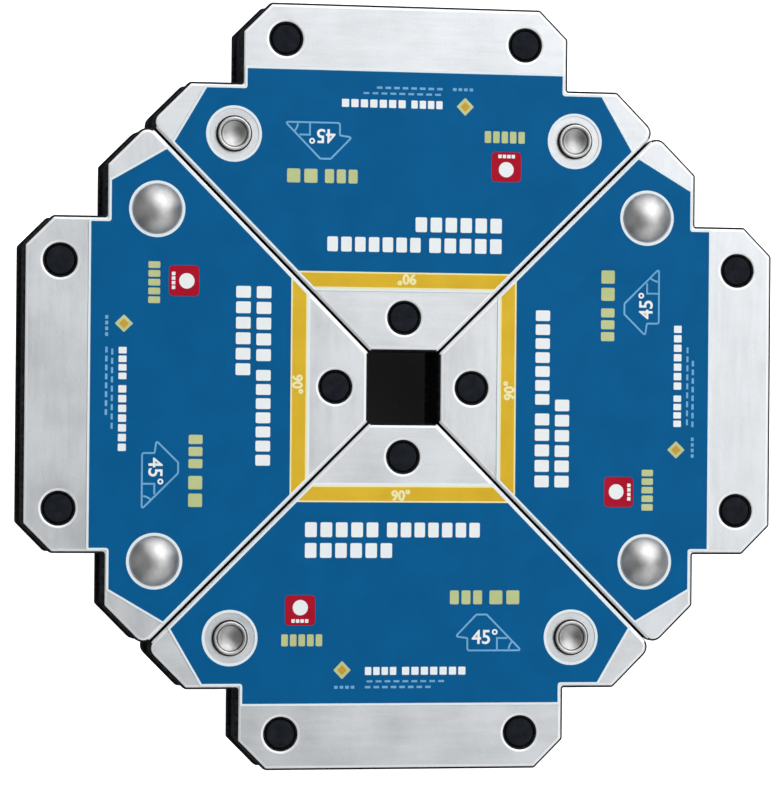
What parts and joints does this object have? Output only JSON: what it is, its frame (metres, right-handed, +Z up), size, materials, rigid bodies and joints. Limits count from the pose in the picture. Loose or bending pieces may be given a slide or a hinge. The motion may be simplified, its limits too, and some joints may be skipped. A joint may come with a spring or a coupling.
{
  "type": "welding magnet holder set",
  "caption": "Arrow-shaped welding magnets nested points inward round a square window, each with steel plates on a plastic core, riveted and labelled.",
  "frame": {"origin": "middle of the square window, on the surface that the four lower domed rivet heads stand on", "axes": "+Z up, out of the upper plate faces; -Y towards the bottom magnet's base edge, +X towards the right magnet's base edge"},
  "size_m": [0.1294, 0.1294, 0.0158],
  "materials": {
    "plated_steel": "satin bright zinc plating with fine grain and deburred bright edges",
    "black_plastic": "fine textured black moulded nylon",
    "magnet": "ground grey ferrite",
    "rivet_steel": "polished plated steel",
    "blue_vinyl": "printed vinyl with a slight sheen"
  },
  "bodies": {
    "bottom_arrow": {"bottom_front_plate": "plated_steel", "bottom_back_plate": "plated_steel", "bottom_core_frame": "black_plastic", "bottom_left_magnet": "magnet", "bottom_right_magnet": "magnet", "bottom_base_magnet": "magnet", "bottom_left_rivet": "rivet_steel", "bottom_right_rivet": "rivet_steel", "bottom_front_label": "blue_vinyl", "bottom_back_label": "blue_vinyl"},
    "right_arrow": {"right_front_plate": "plated_steel", "right_back_plate": "plated_steel", "right_core_frame": "black_plastic", "right_left_magnet": "magnet", "right_right_magnet": "magnet", "right_base_magnet": "magnet", "right_left_rivet": "rivet_steel", "right_right_rivet": "rivet_steel", "right_front_label": "blue_vinyl", "right_back_label": "blue_vinyl"},
    "top_arrow": {"top_front_plate": "plated_steel", "top_back_plate": "plated_steel", "top_core_frame": "black_plastic", "top_left_magnet": "magnet", "top_right_magnet": "magnet", "top_base_magnet": "magnet", "top_left_rivet": "rivet_steel", "top_right_rivet": "rivet_steel", "top_front_label": "blue_vinyl", "top_back_label": "blue_vinyl"},
    "left_arrow": {"left_front_plate": "plated_steel", "left_back_plate": "plated_steel", "left_core_frame": "black_plastic", "left_left_magnet": "magnet", "left_right_magnet": "magnet", "left_base_magnet": "magnet", "left_left_rivet": "rivet_steel", "left_right_rivet": "rivet_steel", "left_front_label": "blue_vinyl", "left_back_label": "blue_vinyl"}
  },
  "joints": [
    {"name": "right_arrow_pull_off", "type": "slide", "parent": "bottom_arrow", "child": "right_arrow", "axis": [1, 0, 0], "range_m": [0, 0.04]},
    {"name": "top_arrow_pull_off", "type": "slide", "parent": "bottom_arrow", "child": "top_arrow", "axis": [0, 1, 0], "range_m": [0, 0.04]},
    {"name": "left_arrow_pull_off", "type": "slide", "parent": "bottom_arrow", "child": "left_arrow", "axis": [-1, 0, 0], "range_m": [0, 0.04]}
  ]
}
